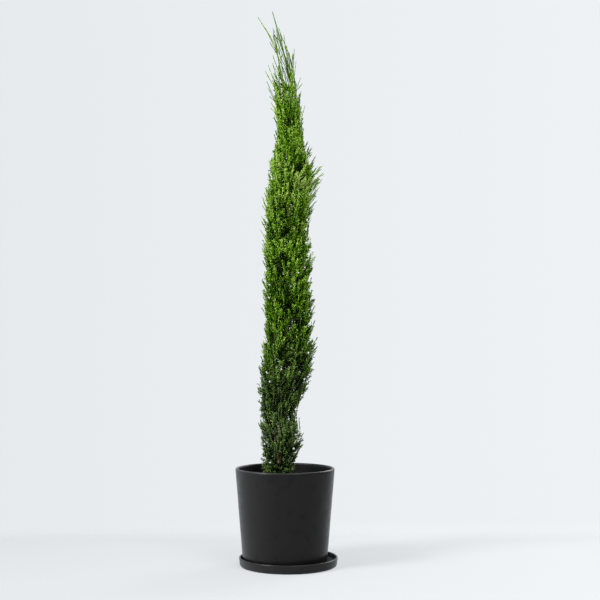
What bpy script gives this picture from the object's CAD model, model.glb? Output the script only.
"""Looks of an italian cypress in a charcoal pot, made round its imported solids.

Blender 4.5, metres, +Z up, -Y the front. It is laid out as an add-on and run as a script: it loads the
frame, registers the tools of a sidebar panel and calls each of them once. Heights called h are above the
surface of the potting mix. The crown grows by the rule of the part's source, carried on to finer twigs.
"""

import math
import random
from dataclasses import dataclass

import bmesh
import bpy
import numpy as np
from bpy.props import FloatProperty, FloatVectorProperty, IntProperty, PointerProperty
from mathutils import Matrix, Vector, noise


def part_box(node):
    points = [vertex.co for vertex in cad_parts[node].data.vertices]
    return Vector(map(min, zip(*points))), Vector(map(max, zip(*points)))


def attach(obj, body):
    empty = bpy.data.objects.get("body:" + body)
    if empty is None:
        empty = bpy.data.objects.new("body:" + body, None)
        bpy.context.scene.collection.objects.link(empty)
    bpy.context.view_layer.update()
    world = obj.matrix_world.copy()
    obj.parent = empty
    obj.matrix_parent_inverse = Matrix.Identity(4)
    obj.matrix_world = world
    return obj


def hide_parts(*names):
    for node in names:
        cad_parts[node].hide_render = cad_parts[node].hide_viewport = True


bl_info = {
    "name": "Potted Cypress",
    "version": (1, 0, 0),
    "blender": (4, 5, 0),
    "location": "3D View > Sidebar > Cypress",
    "description": "Makes the pot, the wood and the foliage of a slim potted cypress",
    "category": "Add Mesh",
}

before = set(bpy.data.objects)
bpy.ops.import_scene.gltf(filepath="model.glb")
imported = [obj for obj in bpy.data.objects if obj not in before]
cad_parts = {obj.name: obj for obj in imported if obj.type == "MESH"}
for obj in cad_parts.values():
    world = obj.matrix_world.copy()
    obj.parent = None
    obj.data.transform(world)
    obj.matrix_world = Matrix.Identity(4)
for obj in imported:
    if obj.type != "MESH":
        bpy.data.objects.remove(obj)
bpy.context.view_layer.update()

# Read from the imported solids
POT_LOW, POT_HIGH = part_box("pot")
SAUCER_LOW, SAUCER_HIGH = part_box("saucer")
MIX_LOW, MIX_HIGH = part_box("potting_mix")
MIX_TOP = MIX_HIGH.z
GAP = 0.0003

# The least that a length is taken as where something is divided by it
TINY = 1e-12

# Crown: rows of (h, x and y of its centre line, radius of its outline)
CROWN = (
    (0.000, -0.016, 0.000, 0.047),
    (0.060, -0.018, 0.001, 0.054),
    (0.120, -0.009, 0.002, 0.066),
    (0.195, -0.022, 0.003, 0.061),
    (0.270, -0.014, 0.004, 0.076),
    (0.340, 0.004, 0.004, 0.087),
    (0.440, 0.011, 0.002, 0.083),
    (0.600, 0.008, -0.003, 0.075),
    (0.780, 0.001, -0.006, 0.071),
    (0.880, 0.014, -0.005, 0.083),
    (0.940, 0.027, -0.002, 0.091),
    (1.030, 0.018, 0.002, 0.056),
    (1.090, 0.012, 0.004, 0.043),
    (1.170, 0.003, 0.006, 0.049),
    (1.240, -0.004, 0.006, 0.046),
    (1.310, -0.006, 0.004, 0.035),
    (1.370, -0.026, 0.002, 0.022),
    (1.447, -0.040, 0.000, 0.004),
)
TREE_HEIGHT = CROWN[-1][0]

# Trunk: rows of (h, x, y) of its centre line, which bends over to the left at the leader
TRUNK_ROUTE = (
    (0.000, -0.019, 0.000),
    (0.030, -0.019, 0.000),
    (0.300, -0.003, 0.003),
    (0.600, 0.004, -0.002),
    (0.900, 0.010, -0.003),
    (1.120, 0.013, 0.003),
    (1.250, 0.017, 0.005),
    (1.320, -0.006, 0.003),
    (1.386, -0.023, 0.001),
    (TREE_HEIGHT, -0.040, 0.000),
)
TRUNK_TOP = 1.372
TRUNK_TIP_RADIUS = 0.0016
FLARE_HEIGHT = 0.016

# The second leader, a long shoot that leaves the trunk inside the crown and leans out further left
SIDE_LEADER_ROUTE = (
    (1.130, 0.013, 0.003),
    (1.244, -0.012, -0.024),
    (1.340, -0.034, -0.020),
    (1.424, -0.084, -0.016),
)

# Boughs, and the spines of the masses: how far out they lie, from the trunk (0) to the outline (1)
BOUGH_RADIUS_SHARE = 0.46
BOUGH_ARM = 0.4
STEM_RADIUS = 0.0022
STEM_TIP_RADIUS = 0.0008
SPINE_INNER = 0.36
SPINE_OUTER = 0.62
SPINE_RISE = 0.22
SPINE_TWIST = math.radians(14)
SPINE_ENDS = (0.04, 0.96)

# Sprays: where they sit on a mass, as in the source
SPRAY_RISE = 0.080
SPRAY_SPACING = 0.0150
SPRAY_SWING = 0.86
ROOT_ASIDE = 0.62
HIGHEST_BASE = 0.84
FIRST_SPRAY = 0.020
LAST_SPRAY = 0.012
BLADE_LENGTH = 0.084
BLADE_SHARE = 0.97
LEADER_SPREAD = 0.012
OUTLINE_SCATTER = (0.80, 1.05)
HEIGHT_SCATTER = (-0.006, 0.010)
SEED = 41
GOLDEN = 0.6180339887


@dataclass
class Tier:
    """A ring of masses that share their heights. Its boughs, if it has any, leave the trunk at bough_h."""

    name: str
    foot_h: float
    tip_h: float
    count: int
    azimuth: float
    blade: float
    bough_h: float | None = None
    cored: bool = True
    route: tuple | None = None


TIERS = (
    Tier("skirt", 0.014, 0.175, 3, 35, 0.75),
    Tier("base", 0.040, 0.410, 4, 80, 0.92),
    Tier("lower", 0.180, 0.595, 4, 35, 1.00, 0.080),
    Tier("low_middle", 0.340, 0.765, 4, 80, 1.00, 0.225),
    Tier("middle", 0.505, 0.935, 4, 35, 1.00, 0.385),
    Tier("high_middle", 0.670, 1.095, 4, 80, 1.00, 0.545),
    Tier("upper", 0.835, 1.225, 4, 49, 0.95, 0.710),
    Tier("high", 0.995, 1.335, 4, 18, 0.85),
    Tier("top", 1.190, 1.395, 3, 74, 0.75, cored=False),
    Tier("side_leader", 1.130, 1.424, 1, 0, 0.55, cored=False, route=SIDE_LEADER_ROUTE),
    Tier("leader", TRUNK_TOP, TREE_HEIGHT, 1, 0, 0.50, cored=False, route=TRUNK_ROUTE),
)

# How loose the crown is: rows of (h, looseness), from dense sprays (0) to single whips (1)
LOOSE_ROWS = (
    (0.00, 0.0),
    (1.08, 0.0),
    (1.13, 0.15),
    (1.19, 0.38),
    (1.25, 0.68),
    (1.31, 1.0),
    (1.45, 1.0),
)

# Where the crown is loose, tips lie further in, shoots are longer and many of them are left out
LOOSE_PULL = 0.55
LOOSE_RISE = 0.8
LOOSE_LEADS = 0.90
LOOSE_SIDES = 0.95

# A leader has only some of its lead shoots, close to its line
LEADER_SHARE = 0.35
LEADER_EVERY = 3

# Shoots at least this loose are whips
WHIP_FROM = 0.5

# How far out the dense sprays reach, as a share of the outline: rows of (h, share right, share left)
DENSE_ROWS = (
    (0.00, 0.94, 1.00),
    (0.08, 0.98, 0.97),
    (0.12, 1.07, 0.95),
    (0.17, 0.97, 0.95),
    (0.22, 0.97, 0.95),
    (0.29, 1.08, 0.93),
    (0.36, 0.97, 0.95),
    (0.55, 0.97, 0.95),
    (0.61, 1.06, 0.95),
    (0.67, 1.17, 0.95),
    (0.72, 1.19, 0.95),
    (0.76, 1.10, 0.94),
    (0.81, 0.94, 0.90),
    (0.87, 0.80, 0.89),
    (0.94, 0.70, 0.89),
    (0.995, 0.57, 0.87),
    (1.05, 0.58, 0.86),
    (1.09, 0.86, 0.79),
    (1.14, 1.00, 0.84),
    (1.22, 1.01, 0.90),
    (1.45, 0.96, 0.94),
)

# Lobes: upright streaks where the sprays stand further out and brighter, or lie back in the shade
STREAK_SIZE = (0.017, 0.017, 0.070)
STREAK_DEPTH = 0.30
STREAK_TONE = 1.9
STREAK_SEED = 51

# The shaded cleft between the two lobes in front, the right one lit more: rows of (h, x)
CLEFT_ROWS = (
    (0.50, 0.006),
    (0.60, -0.008),
    (0.67, -0.014),
    (0.72, -0.013),
    (0.755, -0.008),
    (0.79, 0.005),
    (0.84, 0.001),
    (0.88, 0.005),
    (0.94, 0.012),
)
CLEFT_WIDTH = 0.0085
CLEFT_DEPTH = 0.28
CLEFT_TONE = 2.5
LOBE_ASIDE = 0.042
LOBE_WIDTH = 0.014
LOBE_TONE = 1.0

# Shoots: each spray is a lead shoot with side shoots, whose tips lie beside and below its own
SIDE_LEAVES = (0.28, 0.50)
SIDE_ASIDE = (0.007, 0.017)
SIDE_DROP = (0.010, 0.034)
SIDE_REACH = (0.90, 1.04)
SIDE_RADIUS = 0.02
SIDE_BEND = 0.45
SIDE_BOW = 0.006
LOWEST_TIP_H = 0.012
BARE_SHARE = 0.40
BARE_WHIP_SHARE = 0.08

# Twigs, whips and stems: points along them, sides of their tubes, how far they taper, how high whips bend
TWIG_POINTS = 3
WHIP_POINTS = 9
STEM_POINTS = 26
TWIG_SIDES = 3
STEM_SIDES = 6
TWIG_TAPER = 0.5
WHIP_TAPER = 0.3
WHIP_BEND = 0.55

# Stems are green from this height up, and the trunk's bark turns green over this much more
GREEN_FROM_H = 0.98
GREEN_OVER = 0.15

# Long shoots that stand clear of the top: rows of (h, x) of the tip, and how early each leans out
TOP_SHOOTS = (
    (1.384, -0.017, 0.60),
    (1.373, -0.034, 0.35),
    (1.370, -0.004, 0.75),
    (1.354, -0.049, 0.30),
    (1.330, 0.028, 0.80),
    (1.313, 0.023, 0.70),
    (1.313, -0.039, 0.60),
    (1.282, -0.040, 0.60),
    (1.280, -0.053, 0.70),
    (1.266, -0.048, 0.60),
    (1.258, -0.062, 0.45),
    (1.232, -0.058, 0.55),
    (1.238, 0.048, 0.30),
    (1.208, -0.054, 0.50),
    (1.201, 0.049, 0.75),
    (1.149, 0.061, 0.60),
    (1.121, -0.034, 0.60),
)
TOP_SHOOT_RISE = (0.12, 0.17)
TOP_SHOOT_Y = 0.016
TOP_SHOOT_STEP = 2.4
TURNED_ROUND = math.radians(98)

# A fan of slender shoots that arches out of the crown on the right: rows of (h, x) of its edge
FAN_ROWS = (
    (0.800, 0.080),
    (0.843, 0.093),
    (0.894, 0.112),
    (0.944, 0.122),
    (0.994, 0.094),
    (1.050, 0.074),
)
FAN_SHOOTS = 44
FAN_TIPS = (0.74, 1.02)
FAN_RISE = (0.095, 0.150)
FAN_DEPTH = 0.020
FAN_LEAN = (0.36, 0.64)
FAN_LOOSE = 0.9
FAN_FORKS = 3
FORK_LEAVES = (0.45, 0.78)
FORK_LENGTH = (0.014, 0.030)
FORK_SPREAD = 0.25
FORK_STEP = 0.05
FORK_BOW = 0.002

# Single shoots that stand a little proud of the outline all round
STRAY_SHOOTS = 264
STRAY_H = (0.07, 1.16)
STRAY_REACH = (0.96, 1.09)
STRAY_RISE = (0.034, 0.058)
STRAY_ROOT = 0.84
STRAY_BEND = (0.35, 0.35, 0.55)
STRAY_LOOSE = 0.8

# The bare part of every shoot that isn't wholly loose is this share of its width
SLENDER_WIDTH = 0.72

# Low shoots that hide the trunk's foot
LOW_SHOOTS = 96
LOW_FEET = (0.004, 0.030)
LOW_TIPS = (0.012, 0.070)
LOW_REACH = (0.45, 1.06)
LOW_BOW = 0.006

# Where the front of the crown is open and the trunk shows: its middle in x, half width, and heights
WINDOW_X = -0.018
WINDOW_HALF = 0.012
WINDOW_H = (0.046, 0.082)

# Small gaps through the whole crown where the sky shows, as seen from the eye: rows of (h, x, radius)
SKY_GAPS = (
    (0.928, 0.054, 0.0025),
    (0.925, -0.042, 0.0028),
    (0.726, 0.066, 0.0028),
    (0.705, 0.078, 0.0025),
    (0.646, -0.054, 0.0022),
    (0.633, 0.041, 0.0026),
    (0.596, -0.048, 0.0026),
    (0.590, 0.016, 0.0020),
    (0.556, -0.051, 0.0030),
    (0.386, 0.072, 0.0026),
    (0.325, -0.057, 0.0030),
    (0.305, 0.059, 0.0026),
    (0.297, -0.048, 0.0022),
    (0.254, 0.051, 0.0022),
    (0.252, -0.074, 0.0030),
    (0.238, -0.076, 0.0026),
    (0.211, 0.033, 0.0032),
    (0.198, 0.027, 0.0024),
    (0.134, 0.032, 0.0022),
    (0.106, -0.064, 0.0026),
    (0.091, 0.027, 0.0030),
    (0.066, -0.040, 0.0032),
    (0.048, -0.046, 0.0026),
)
EYE = (0.046, -3.66, 0.70)

# Broad dark branchlets that close the inside of the crown
INNER_TUFTS = 300
INNER_LENGTH = (0.018, 0.036)
INNER_WIDTH = 0.0036
INNER_REACH = 0.80
INNER_TONE = -2.0
INNER_TO = 0.97
INNER_SPREAD = (1.0, 1.0, 0.7)
INNER_LIFT = 0.9
INNER_YOUNG_H = 1.02
INNER_YOUNG_OVER = 0.1
INNER_TOP_H = 1.16

# Short branchlets pressed to the young stems of the top
CLASP_FROM_H = 1.10
CLASP_SPACING = 0.0030
CLASP_LENGTH = (0.007, 0.011)
CLASP_ANGLE = math.radians(10)
CLASP_WIDTH = 0.0017
CLASP_ASIDE = 0.0012
CLASP_STEP = 0.001
CLASP_END = 0.002
CLASP_TAPER = 0.05
CLASP_LEAST = 0.35

# Branchlets: cords of scale leaves that leave a shoot on all sides, each with its own side twigs
BRANCHLET_FROM = 0.24
BRANCHLET_TO = 0.98
SHOOT_STEP = 0.02
BRANCHLET_TURN = math.radians(137.5)
BRANCHLET_LIFT = 0.16

# Shares of the angle at which branchlets lean out, at the foot of a shoot and at its tip
LEAN_SHARES = (1.25, 0.70)
ANGLE_SCATTER = (0.75, 1.25)
LENGTH_AT_FOOT = 0.0130
LENGTH_AT_TIP = 0.0080
LENGTH_SCATTER = (0.68, 1.30)

# What looseness takes off the length, angle, number and width of branchlets
LOOSE_LENGTH = 0.58
LOOSE_ANGLE = 0.45
LOOSE_MISSING = 0.55
LOOSE_WIDTH = 0.30

# Side twigs: where they leave a branchlet, their angle and length, and the share left on the smallest
SIDE_TWIGS = (0.28, 0.64)
SIDE_ANGLE = math.radians(38)
TWIG_AT_FOOT = 0.0052
TWIG_AT_TIP = 0.0040
LEAST_TWIG = 0.0016
TWIG_OF_SMALLEST = 0.35

# The leafy end of a shoot is a chain of cords, which lap a little and grow slimmer
DENSE_LINKS = 3
WHIP_LINKS = 8
LINK_LAP = 0.03
LINK_TAPER = 0.4

# Where a cord is widest, and how high above the mix the lowest ones lie
BELT = 0.45
LOWEST_LEAF = 0.003

# Colour of the foliage: rows of (h, tone), where each whole tone is one kind of spray
TONE_ROWS = (
    (0.00, 2.1),
    (0.15, 2.4),
    (0.30, 2.2),
    (0.50, 2.3),
    (0.80, 3.3),
    (0.88, 4.2),
    (0.96, 4.2),
    (1.05, 2.8),
    (1.09, 3.1),
    (1.15, 4.4),
    (1.22, 5.0),
    (1.45, 5.5),
)
TONE_OUTWARD = 7.0
TONE_MIDDLE = 0.84
TONE_RANGE = (-2.8, 0.7)
TONE_LOOSE = 0.6
LEAST_RADIUS = 0.02
TONE_ALONG = 1.6
TONE_MIDWAY = 0.75
TONE_OF_SPRAY = 0.8
TONE_OF_SIDE = 0.25
TONE_OF_BRANCHLET = 1.25
TONE_OF_TWIG = 1.0
WHIP_TONE = -0.8
FAN_TONE = -1.2
TONE_AT_END = 1.2
GREY_BELOW = (0.20, 0.50)
GREY_SHARE = 0.75
DRY_SHARE = 0.05
DRY_BELOW = 0.45
DRY_INSIDE = 0.80

# A kind of spray with more triangles than this is made as several pieces
MOST_TRIANGLES = 190_000

# Kinds of spray, from the shaded foot to the young tips, then those apart: name and the record's slot
LEAF_KINDS = (
    ("shaded", "deep_green_foliage"),
    ("deep", "deep_green_foliage"),
    ("forest", "deep_green_foliage"),
    ("leaf", "mid_green_foliage"),
    ("grass", "mid_green_foliage"),
    ("fresh", "fresh_green_foliage"),
    ("young", "fresh_green_foliage"),
    ("dry", "deep_green_foliage"),
    ("dusky", "deep_green_foliage"),
    ("greyish", "deep_green_foliage"),
)
BRIGHTEST = 6
DRY, DUSKY, GREYISH = 7, 8, 9

# From which kind up old sprays turn dusky, or greyish
DUSKY_FROM = 1
GREYISH_FROM = 3


def linear(code):
    """An sRGB hex colour, such as #808080, as linear red, green and blue."""
    shares = [int(code[i : i + 2], 16) / 255 for i in (1, 3, 5)]
    return tuple(s / 12.92 if s <= 0.04045 else ((s + 0.055) / 1.055) ** 2.4 for s in shares)


def length(name, description, default):
    """A length property in metres."""
    return FloatProperty(
        name=name, description=description, default=default, min=0.0, precision=4, unit="LENGTH"
    )


def degrees(name, description, default):
    """An angle property, from its default in degrees."""
    return FloatProperty(name=name, description=description, default=math.radians(default), subtype="ANGLE")


def watts(name, description, default):
    """A property for the power of a light."""
    return FloatProperty(name=name, description=description, default=default, min=0.0, unit="POWER")


def factor(name, description, default):
    """A property that says how much there is of something."""
    return FloatProperty(name=name, description=description, default=default, min=0.0)


def count_of(name, description, default, least=0):
    """A property that says how many of a thing there are."""
    return IntProperty(name=name, description=description, default=default, min=least)


def colour(name, description, code):
    """A colour property whose default is an sRGB hex colour."""
    return FloatVectorProperty(
        name=name, description=description, default=linear(code), min=0.0, max=1.0, subtype="COLOR"
    )


class PotSettings(bpy.types.PropertyGroup):
    """Sizes of the pot and its saucer."""

    rim_radius: length("Rim radius", "Outer radius of the pot's lip", (POT_HIGH.x - POT_LOW.x) / 2)
    foot_radius: length("Foot radius", "Outer radius where the wall meets the foot", 0.1295)
    wall: length("Wall", "Thickness of the pot's wall", 0.009)
    floor: length("Floor", "Thickness of the pot's floor", 0.010)
    corner: length("Corner", "Radius of the pot's lower edge", 0.007)
    saucer_radius: length("Saucer radius", "Outer radius of the saucer", (SAUCER_HIGH.x - SAUCER_LOW.x) / 2)
    saucer_foot: length("Saucer foot", "Outer radius of the saucer's underside", 0.149)
    saucer_wall: length("Saucer wall", "Thickness of the saucer's wall", 0.0055)
    saucer_floor: length("Saucer floor", "Thickness of the saucer's floor", 0.007)
    saucer_corner: length("Saucer corner", "Radius of the saucer's lower edge", 0.007)
    unevenness: length("Unevenness", "How far the fired walls stray from true round", 0.00035)
    glaze: colour("Glaze", "Matte charcoal glaze", "#171616")
    rubbed: colour("Rubbed glaze", "Glaze where hands and watering have marked it", "#100F0F")
    lip_glaze: colour("Lip glaze", "Thin glaze on the lip", "#303031")
    saucer_glaze: colour("Saucer glaze", "The saucer's glaze, a little paler from wear", "#242222")


class MixSettings(bpy.types.PropertyGroup):
    """Sizes and colours of the potting mix."""

    plateau: length("Plateau", "Radius of the level part round the trunk", 0.060)
    edge_drop: length("Edge drop", "How far the mix falls to the wall", 0.006)
    lumps: length("Lumps", "Height of the lumps in the surface", 0.0016)
    chips: count_of("Chips", "Bark chips on the surface", 430)
    chip_length: length("Chip length", "Length of an average chip", 0.013)
    crumbs: count_of("Crumbs", "Crumbs between the chips", 1700)
    crumb_length: length("Crumb length", "Length of an average crumb", 0.0042)
    damp: colour("Damp mix", "Damp peat in the hollows", "#17100C")
    dry: colour("Dry mix", "Dry fibre on top", "#3A2A1E")
    chip_dark: colour("Dark chip", "Damp pine bark", "#2A1B13")
    chip_light: colour("Light chip", "Dry pine bark", "#6A4A33")


class WoodSettings(bpy.types.PropertyGroup):
    """Sizes and colours of the trunk, boughs and twigs."""

    trunk_radius: length("Trunk radius", "Radius of the trunk above its flare", 0.0105)
    flare: length("Flare", "How much wider the trunk is at its foot", 0.0065)
    fissure: length("Fissure depth", "Depth of the furrows in the bark", 0.0011)
    strip: length("Strip width", "Width of a strip of bark between furrows", 0.0042)
    strip_length: length("Strip length", "Length of a strip of bark", 0.050)
    furrow: colour("Furrow", "Red-brown bark in the furrows", "#75654A")
    ridge: colour("Ridge", "Weathered grey-brown bark on the ridges", "#BDB48E")
    twig: colour("Twig", "Bark of the bare twigs", "#5E4F30")
    green_twig: colour("Green twig", "Bark of the youngest twigs", "#6F6B38")
    shoot_dark: colour("Dark shoot", "Green skin of this year's stems in their shade", "#34520F")
    shoot_light: colour("Light shoot", "Green skin of this year's stems in the light", "#587F1E")


class CrownSettings(bpy.types.PropertyGroup):
    """Counts and sizes of the shoots and branchlets."""

    side_shoots: count_of("Side shoots", "Side shoots of each spray", 2)
    branchlets: count_of("Branchlets", "Branchlets along each shoot", 23, least=1)
    angle: degrees("Angle", "How far a branchlet leans out from its shoot", 46)
    branchlet_width: length("Branchlet width", "Width of a branchlet's cord of scale leaves", 0.0025)
    side_width: length("Side width", "Width of a side twig at its foot", 0.0021)
    whip_width: length("Whip width", "Width of a long shoot's cord of scale leaves", 0.0026)
    twig_width: length("Twig width", "Width of a bare twig", 0.0019)


class LeafSettings(bpy.types.PropertyGroup):
    """Colours of the sprays, from the shaded foot of the crown to its young tips."""

    shaded: colour("Shaded", "Sprays deep inside the crown", "#0F2204")
    deep: colour("Deep", "Deep green sprays behind others", "#22400A")
    forest: colour("Forest", "Older green sprays", "#40640F")
    leaf: colour("Leaf", "Green sprays of the middle crown", "#5A8A13")
    grass: colour("Grass", "Lighter sprays that stand out of the middle crown", "#77AB1E")
    fresh: colour("Fresh", "This year's sprays", "#98C63C")
    young: colour("Young", "Palest tips of the year", "#C2DC78")
    dry: colour("Dry", "Dead inner sprays", "#5A5030")
    dusky: colour("Dusky", "Old sprays near the pot, dull and bluish", "#33452A")
    greyish: colour("Greyish", "Old sprays near the pot that catch the light", "#6B8055")


class StageSettings(bpy.types.PropertyGroup):
    """The camera, the lights and the backdrop."""

    distance: length("Distance", "How far in front of the pot's axis the camera stands", -EYE[1])
    aside: length("Aside", "How far right of the axis the camera stands", EYE[0])
    height: length("Height", "Height of the camera above the floor", EYE[2])
    tilt: degrees("Tilt", "How far the camera looks up", 1.794)
    lens: FloatProperty(name="Lens", description="Focal length", default=71.1, unit="CAMERA")
    floor_back: length("Floor back", "How far behind the axis the paper begins to rise", 0.0)
    floor_rise: length("Floor rise", "Over what length the paper fades into the backdrop", 0.90)
    key_power: watts("Key power", "Large soft light from the left", 158.0)
    fill_power: watts("Fill power", "Weak light in front", 57.0)
    back_power: watts("Back power", "Weak light behind", 50.0)
    ambient: factor("Ambient", "Share of the backdrop's light that falls on matte surfaces", 0.45)
    front_gloss: factor("Front gloss", "Share of the backdrop's light that gloss takes from the front", 0.2)
    front_lean: FloatProperty(
        name="Front lean", description="How far the dark front turns to the right", default=0.9
    )
    sweep_light: factor("Sweep light", "Share of the floor's brightness that comes through it", 0.55)
    left: colour("Left", "Backdrop on the left", "#E6EAEC")
    right: colour("Right", "Backdrop on the right", "#EEF2F5")
    paper: colour("Paper", "Seamless paper of the floor, on the left", "#BFC0C2")
    paper_right: colour("Paper on the right", "Seamless paper of the floor, on the right", "#DCDDDF")


class CypressSettings(bpy.types.PropertyGroup):
    """All the settings of the plant and its stage."""

    pot: PointerProperty(type=PotSettings)
    mix: PointerProperty(type=MixSettings)
    wood: PointerProperty(type=WoodSettings)
    crown: PointerProperty(type=CrownSettings)
    leaves: PointerProperty(type=LeafSettings)
    stage: PointerProperty(type=StageSettings)


# Nodes and materials


def add_node(tree, kind, settings=None, links=None):
    """Adds a node. Settings are its properties, or its sockets by name or number; links feed its sockets."""
    node = tree.nodes.new(kind)
    for key, value in (settings or {}).items():
        if isinstance(key, str) and key in node.bl_rna.properties:
            setattr(node, key, value)
        else:
            node.inputs[key].default_value = value
    for key, source in (links or {}).items():
        tree.links.new(source, node.inputs[key])
    return node


def new_material(name, roughness, specular=0.5):
    """A Principled material, its node tree, its shader and the object coordinates in metres."""
    material = bpy.data.materials.new(name)
    material.use_nodes = True
    tree = material.node_tree
    shader = tree.nodes["Principled BSDF"]
    shader.inputs["Roughness"].default_value = roughness
    shader.inputs["Specular IOR Level"].default_value = specular
    place = add_node(tree, "ShaderNodeTexCoord").outputs["Object"]
    return material, tree, shader, place


def mottle(tree, place, size, dark, light, low=0.35, high=0.65, detail=3.0):
    """Colour that wanders from dark to light in patches of that size in metres, and its share of light."""
    grain = add_node(tree, "ShaderNodeTexNoise", {"Scale": 1 / size, "Detail": detail}, {"Vector": place})
    span = {"From Min": low, "From Max": high}
    share = add_node(tree, "ShaderNodeMapRange", span, {"Value": grain.outputs[0]})
    colours = {"data_type": "RGBA", 6: (*dark, 1.0), 7: (*light, 1.0)}
    return add_node(tree, "ShaderNodeMix", colours, {0: share.outputs[0]}), share


def above(tree, place, colours, low, high, hue):
    """Those colours below one height and that hue above another, with a smooth change between."""
    height = add_node(tree, "ShaderNodeSeparateXYZ", None, {0: place})
    span = {"From Min": low, "From Max": high}
    share = add_node(tree, "ShaderNodeMapRange", span, {"Value": height.outputs[2]})
    top = {"data_type": "RGBA", 7: (*hue, 1.0)}
    return add_node(tree, "ShaderNodeMix", top, {0: share.outputs[0], 6: colours.outputs[2]})


def surfaced(material, colours, height, strength, depth):
    """The material in those colours, with relief of that depth in metres where the height rises and falls."""
    tree = material.node_tree
    shader = tree.nodes["Principled BSDF"]
    relief = {"Strength": strength, "Distance": depth}
    bump = add_node(tree, "ShaderNodeBump", relief, {"Height": height.outputs[0]})
    tree.links.new(colours.outputs[2], shader.inputs["Base Color"])
    tree.links.new(bump.outputs[0], shader.inputs["Normal"])
    return material


def shaded(hue, share):
    """A colour made darker, or lighter where share is above 1."""
    return tuple(min(c * share, 1.0) for c in hue)


def slip_cast_stoneware(name, settings, glaze):
    """Slip-cast stoneware with a sprayed matte glaze: an even charcoal, soft sheen, faint rubbed marks."""
    material, tree, shader, place = new_material(name, roughness=0.35, specular=0.30)
    colours, _ = mottle(tree, place, 0.030, glaze, settings.rubbed, low=0.56, high=0.68, detail=5.0)
    # The glaze draws back from the lip in the kiln and lies thinner and paler there
    lip_middle = POT_HIGH.z - settings.wall / 2
    glazed = above(tree, place, colours, lip_middle, POT_HIGH.z, settings.lip_glaze)
    # Hands and watering have left patches of 22 mm that shine a little more
    smudge = add_node(tree, "ShaderNodeTexNoise", {"Scale": 1 / 0.022, "Detail": 4.0}, {"Vector": place})
    gloss = {"From Min": 0.40, "From Max": 0.66, "To Min": 0.30, "To Max": 0.40}
    sheen = add_node(tree, "ShaderNodeMapRange", gloss, {"Value": smudge.outputs[0]})
    tree.links.new(sheen.outputs[0], shader.inputs["Roughness"])
    # The sprayed glaze has a grit of 0.3 mm, drawn 1.5 mm wide so that it shows
    grit = add_node(tree, "ShaderNodeTexNoise", {"Scale": 1 / 0.0015, "Detail": 2.0}, {"Vector": place})
    return surfaced(material, glazed, grit, strength=0.12, depth=0.0003)


def composted_bark_mix(settings):
    """Composted bark and peat, raked level: nearly black where damp, with pale fibre on top."""
    material, tree, _, place = new_material("composted_bark_mix", roughness=0.95, specular=0.2)
    colours, share = mottle(tree, place, 0.004, settings.damp, settings.dry, low=0.40, high=0.68, detail=6.0)
    return surfaced(material, colours, share, strength=0.8, depth=0.0012)


def pine_bark_chips(settings):
    """Crushed pine bark: layered red-brown flakes, each chip a little lighter or darker than the next."""
    material, tree, _, place = new_material("pine_bark_chips", roughness=0.85, specular=0.3)
    hues = (settings.chip_dark, settings.chip_light)
    colours, _ = mottle(tree, place, 0.011, *hues, low=0.38, high=0.64, detail=2.0)
    layers = add_node(tree, "ShaderNodeTexNoise", {"Scale": 1 / 0.0018, "Detail": 4.0}, {"Vector": place})
    return surfaced(material, colours, layers, strength=0.6, depth=0.0006)


def fibrous_cypress_bark(settings):
    """Fibrous cypress bark that peels in long strips: grey-brown ridges over red-brown furrows."""
    material, tree, _, place = new_material("fibrous_cypress_bark", roughness=0.9, specular=0.25)
    stretch = {"Scale": (1.0, 1.0, settings.strip / settings.strip_length)}
    drawn_out = add_node(tree, "ShaderNodeMapping", stretch, {"Vector": place}).outputs[0]
    hues = (settings.furrow, settings.ridge)
    colours, share = mottle(tree, drawn_out, settings.strip, *hues, low=0.36, high=0.62, detail=5.0)
    # This year's top of the stem has no bark yet and is green
    green_from = MIX_TOP + GREEN_FROM_H
    skin = above(tree, place, colours, green_from, green_from + GREEN_OVER, settings.shoot_dark)
    fibre = add_node(tree, "ShaderNodeTexNoise", {"Scale": 1 / 0.0008, "Detail": 3.0}, {"Vector": drawn_out})
    both = {"operation": "MULTIPLY_ADD", 1: 0.4}
    height = add_node(tree, "ShaderNodeMath", both, {0: fibre.outputs[0], 2: share.outputs[0]})
    return surfaced(material, skin, height, strength=0.7, depth=0.0006)


def young_twig_bark(name, dark, light):
    """Thin bark of young twigs: brown low in the crown, and still green on this year's stems at the top."""
    material, tree, _, place = new_material(name, roughness=0.7, specular=0.2)
    colours, share = mottle(tree, place, 0.009, dark, light, low=0.38, high=0.66)
    return surfaced(material, colours, share, strength=0.4, depth=0.0003)


def scale_leaves(kind, hue):
    """Scale leaves pressed to their branchlet, with little bloom: matte, each patch lighter or darker."""
    material, tree, _, place = new_material(f"scale_leaves_{kind}", roughness=0.6, specular=0.02)
    # A pair of scales is 1.3 mm long, drawn 2.5 mm so that it shows
    scales = add_node(tree, "ShaderNodeTexVoronoi", {"Scale": 1 / 0.0025}, {"Vector": place})
    colours, _ = mottle(tree, place, 0.006, shaded(hue, 0.80), shaded(hue, 1.22))
    return surfaced(material, colours, scales, strength=0.5, depth=0.0006)


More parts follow.
